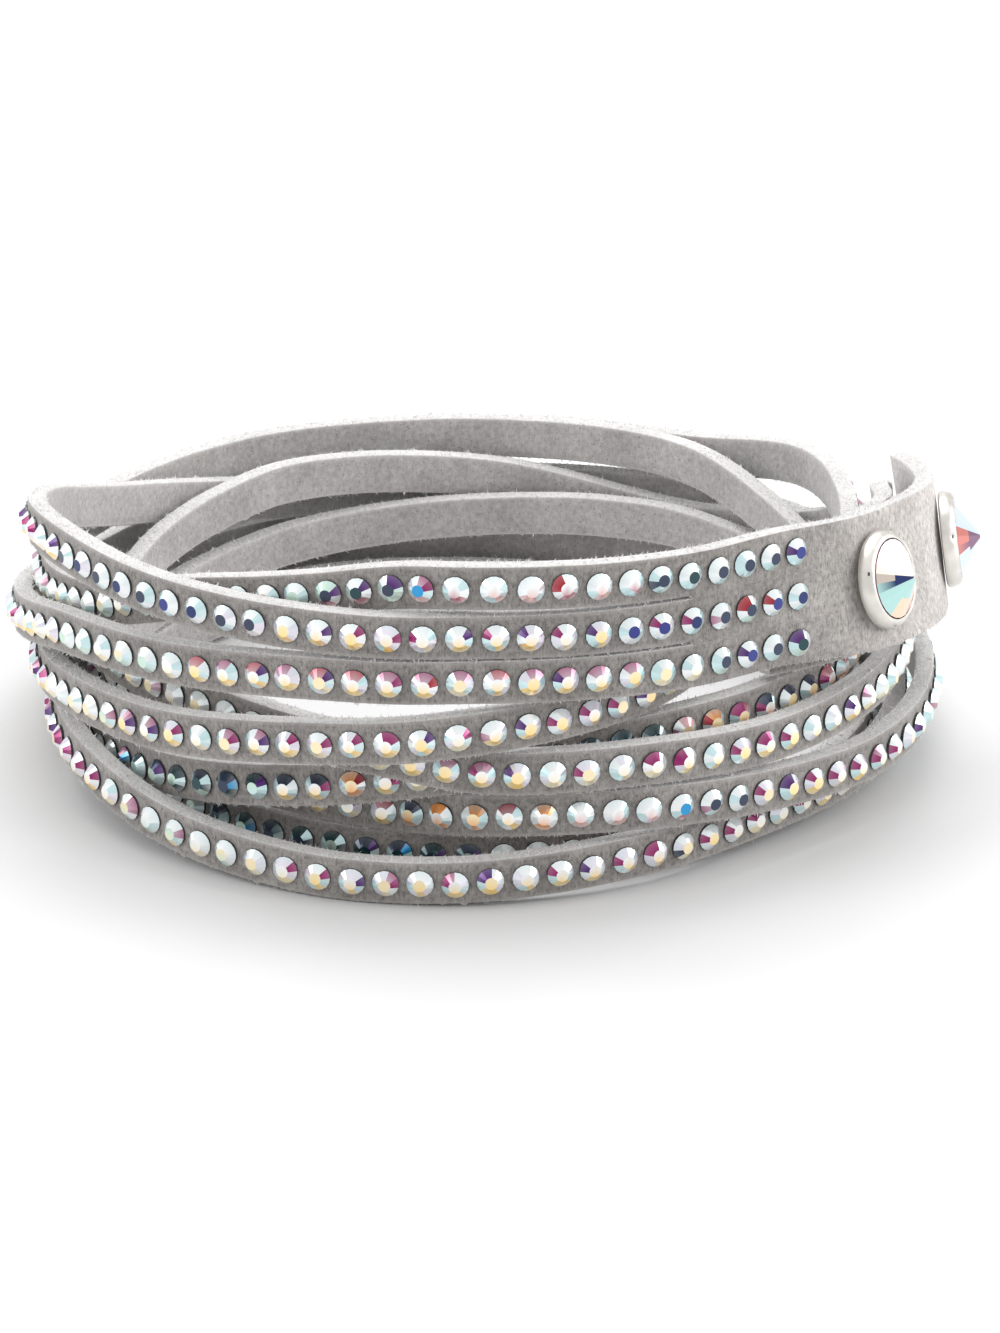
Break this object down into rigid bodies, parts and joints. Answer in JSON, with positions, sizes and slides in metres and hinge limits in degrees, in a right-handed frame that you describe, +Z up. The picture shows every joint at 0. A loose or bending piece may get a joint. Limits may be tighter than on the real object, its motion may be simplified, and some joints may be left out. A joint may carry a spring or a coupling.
{
  "type": "wrap bracelet",
  "caption": "Suede wrap bracelet: a slit band wound three times round, with rows of small flat-backed stones and pointed crystal snap caps, lying in its own turns",
  "frame": {"origin": "centre of the bounding box on the surface that the bracelet lies on", "axes": "+Z up through the hollow of the turns, -Y the front with the stone rows, +X towards the snap caps"},
  "size_m": [0.068, 0.0687, 0.0241],
  "materials": {
    "suede": "light warm grey microfibre suede with paler cut edges",
    "stones": "foil-backed glass with an iridescent coating",
    "snap_metal": "pale silver-coloured metal",
    "crystal": "pointed foil-backed crystal with an iridescent coating"
  },
  "bodies": {
    "root": {"suede_band": "suede", "stones_upper": "stones", "stones_middle": "stones", "stones_lower": "stones", "snap_cap_front": "snap_metal", "snap_cap_end": "snap_metal", "crystal_front": "crystal", "crystal_end": "crystal", "snap_socket_front": "snap_metal", "snap_socket_end": "snap_metal", "snap_stud_front": "snap_metal", "snap_stud_end": "snap_metal"}
  },
  "joints": []
}
